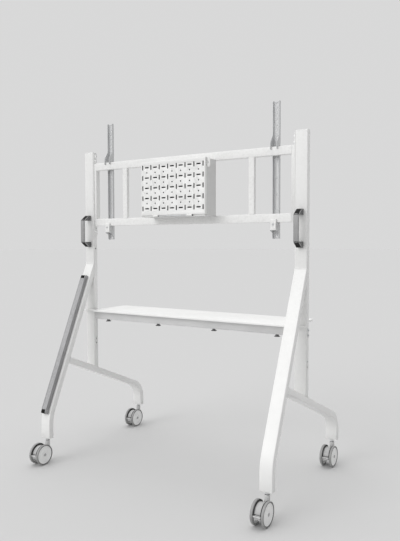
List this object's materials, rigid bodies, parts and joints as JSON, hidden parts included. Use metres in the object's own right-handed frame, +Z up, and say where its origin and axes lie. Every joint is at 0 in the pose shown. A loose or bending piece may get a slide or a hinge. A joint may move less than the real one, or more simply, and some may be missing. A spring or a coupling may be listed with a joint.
{
  "type": "tv cart",
  "caption": "White steel rolling stand: two bent-tube side frames, ladder with sliding hook arms, shelf, lockable vented box, handles, cable cover and braked twin-wheel casters.",
  "frame": {"origin": "middle of the footprint, on the floor", "axes": "+Z up; -Y is the front, where the arms carry the load; +Y is the rear; +X is the right-hand side as seen from the front"},
  "size_m": [1.3418, 0.879, 1.793],
  "materials": {
    "white_powder_coat": "satin white powder coat",
    "arm_grey": "light grey coated sheet steel",
    "cover_grey": "grey satin extrusion",
    "plain_steel": "zinc plated steel",
    "black_pin": "black steel pin",
    "dark_plastic": "dark grey moulded",
    "black_plastic": "black moulded",
    "light_plastic": "light grey moulded",
    "grey_tyre": "grey elastomer tyre on a white plastic disc"
  },
  "bodies": {
    "root": {"upright_left": "white_powder_coat", "upright_right": "white_powder_coat", "upright_cap_left": "white_powder_coat", "upright_cap_right": "white_powder_coat", "rear_leg_left": "white_powder_coat", "rear_leg_right": "white_powder_coat", "front_foot_left": "white_powder_coat", "front_foot_right": "white_powder_coat", "top_rail": "white_powder_coat", "bottom_rail": "white_powder_coat", "end_post_left": "white_powder_coat", "end_post_right": "white_powder_coat", "ladder_strut_left": "white_powder_coat", "ladder_strut_right": "white_powder_coat", "ladder_fixing_left": "white_powder_coat", "ladder_fixing_right": "white_powder_coat", "shelf_panel": "white_powder_coat", "shelf_beam": "white_powder_coat", "shelf_screw_1": "dark_plastic", "shelf_screw_2": "dark_plastic", "shelf_screw_3": "dark_plastic", "shelf_screw_4": "dark_plastic", "shelf_bolts_left": "plain_steel", "shelf_bolts_right": "plain_steel", "box_body": "white_powder_coat", "box_hinge_rod": "black_pin", "handle_frame_left": "dark_plastic", "handle_frame_right": "dark_plastic", "handle_grip_left": "light_plastic", "handle_grip_right": "light_plastic", "cable_cover": "cover_grey", "cable_cover_top_end": "black_plastic", "cable_cover_bottom_end": "black_plastic", "caster_stem_front_left": "plain_steel", "caster_stem_front_right": "plain_steel", "caster_stem_rear_left": "plain_steel", "caster_stem_rear_right": "plain_steel"},
    "arm_left": {"hook_arm_left": "arm_grey"},
    "arm_right": {"hook_arm_right": "arm_grey"},
    "lock_left": {"arm_lock_left": "white_powder_coat", "arm_lock_screw_left": "plain_steel"},
    "lock_right": {"arm_lock_right": "white_powder_coat", "arm_lock_screw_right": "plain_steel"},
    "door": {"box_door": "white_powder_coat"},
    "swivel_front_left": {"caster_body_front_left": "light_plastic"},
    "wheel_front_left_a": {"caster_wheel_front_left_a": "grey_tyre"},
    "wheel_front_left_b": {"caster_wheel_front_left_b": "grey_tyre"},
    "pedal_front_left": {"caster_pedal_front_left": "dark_plastic"},
    "swivel_front_right": {"caster_body_front_right": "light_plastic"},
    "wheel_front_right_a": {"caster_wheel_front_right_a": "grey_tyre"},
    "wheel_front_right_b": {"caster_wheel_front_right_b": "grey_tyre"},
    "pedal_front_right": {"caster_pedal_front_right": "dark_plastic"},
    "swivel_rear_left": {"caster_body_rear_left": "light_plastic"},
    "wheel_rear_left_a": {"caster_wheel_rear_left_a": "grey_tyre"},
    "wheel_rear_left_b": {"caster_wheel_rear_left_b": "grey_tyre"},
    "pedal_rear_left": {"caster_pedal_rear_left": "dark_plastic"},
    "swivel_rear_right": {"caster_body_rear_right": "light_plastic"},
    "wheel_rear_right_a": {"caster_wheel_rear_right_a": "grey_tyre"},
    "wheel_rear_right_b": {"caster_wheel_rear_right_b": "grey_tyre"},
    "pedal_rear_right": {"caster_pedal_rear_right": "dark_plastic"}
  },
  "joints": [
    {"name": "arm_slide_left", "type": "slide", "parent": "root", "child": "arm_left", "axis": [1, 0, 0], "range_m": [-0.06, 0.07]},
    {"name": "arm_slide_right", "type": "slide", "parent": "root", "child": "arm_right", "axis": [1, 0, 0], "range_m": [-0.07, 0.06]},
    {"name": "lock_slide_left", "type": "slide", "parent": "arm_left", "child": "lock_left", "axis": [0, 0, 1], "range_m": [-0.018, 0]},
    {"name": "lock_slide_right", "type": "slide", "parent": "arm_right", "child": "lock_right", "axis": [0, 0, 1], "range_m": [-0.018, 0]},
    {"name": "door_hinge", "type": "hinge", "parent": "root", "child": "door", "pos_m": [0, 0.1045, 1.275], "axis": [-1, 0, 0], "range_deg": [0, 110]},
    {"name": "swivel_front_left", "type": "hinge", "parent": "root", "child": "swivel_front_left", "pos_m": [-0.635, -0.4245, 0.052], "axis": [0, 0, 1], "continuous": true},
    {"name": "wheel_front_left_a", "type": "hinge", "parent": "swivel_front_left", "child": "wheel_front_left_a", "pos_m": [-0.635, -0.3775, 0.052], "axis": [1, 0, 0], "continuous": true},
    {"name": "wheel_front_left_b", "type": "hinge", "parent": "swivel_front_left", "child": "wheel_front_left_b", "pos_m": [-0.635, -0.3775, 0.052], "axis": [1, 0, 0], "continuous": true},
    {"name": "brake_front_left", "type": "hinge", "parent": "swivel_front_left", "child": "pedal_front_left", "pos_m": [-0.635, -0.3555, 0.046], "axis": [-1, 0, 0], "range_deg": [0, 12]},
    {"name": "swivel_front_right", "type": "hinge", "parent": "root", "child": "swivel_front_right", "pos_m": [0.635, -0.4245, 0.052], "axis": [0, 0, 1], "continuous": true},
    {"name": "wheel_front_right_a", "type": "hinge", "parent": "swivel_front_right", "child": "wheel_front_right_a", "pos_m": [0.635, -0.3775, 0.052], "axis": [1, 0, 0], "continuous": true},
    {"name": "wheel_front_right_b", "type": "hinge", "parent": "swivel_front_right", "child": "wheel_front_right_b", "pos_m": [0.635, -0.3775, 0.052], "axis": [1, 0, 0], "continuous": true},
    {"name": "brake_front_right", "type": "hinge", "parent": "swivel_front_right", "child": "pedal_front_right", "pos_m": [0.635, -0.3555, 0.046], "axis": [-1, 0, 0], "range_deg": [0, 12]},
    {"name": "swivel_rear_left", "type": "hinge", "parent": "root", "child": "swivel_rear_left", "pos_m": [-0.635, 0.3405, 0.052], "axis": [0, 0, 1], "continuous": true},
    {"name": "wheel_rear_left_a", "type": "hinge", "parent": "swivel_rear_left", "child": "wheel_rear_left_a", "pos_m": [-0.635, 0.3875, 0.052], "axis": [1, 0, 0], "continuous": true},
    {"name": "wheel_rear_left_b", "type": "hinge", "parent": "swivel_rear_left", "child": "wheel_rear_left_b", "pos_m": [-0.635, 0.3875, 0.052], "axis": [1, 0, 0], "continuous": true},
    {"name": "brake_rear_left", "type": "hinge", "parent": "swivel_rear_left", "child": "pedal_rear_left", "pos_m": [-0.635, 0.4095, 0.046], "axis": [-1, 0, 0], "range_deg": [0, 12]},
    {"name": "swivel_rear_right", "type": "hinge", "parent": "root", "child": "swivel_rear_right", "pos_m": [0.635, 0.3405, 0.052], "axis": [0, 0, 1], "continuous": true},
    {"name": "wheel_rear_right_a", "type": "hinge", "parent": "swivel_rear_right", "child": "wheel_rear_right_a", "pos_m": [0.635, 0.3875, 0.052], "axis": [1, 0, 0], "continuous": true},
    {"name": "wheel_rear_right_b", "type": "hinge", "parent": "swivel_rear_right", "child": "wheel_rear_right_b", "pos_m": [0.635, 0.3875, 0.052], "axis": [1, 0, 0], "continuous": true},
    {"name": "brake_rear_right", "type": "hinge", "parent": "swivel_rear_right", "child": "pedal_rear_right", "pos_m": [0.635, 0.4095, 0.046], "axis": [-1, 0, 0], "range_deg": [0, 12]}
  ]
}
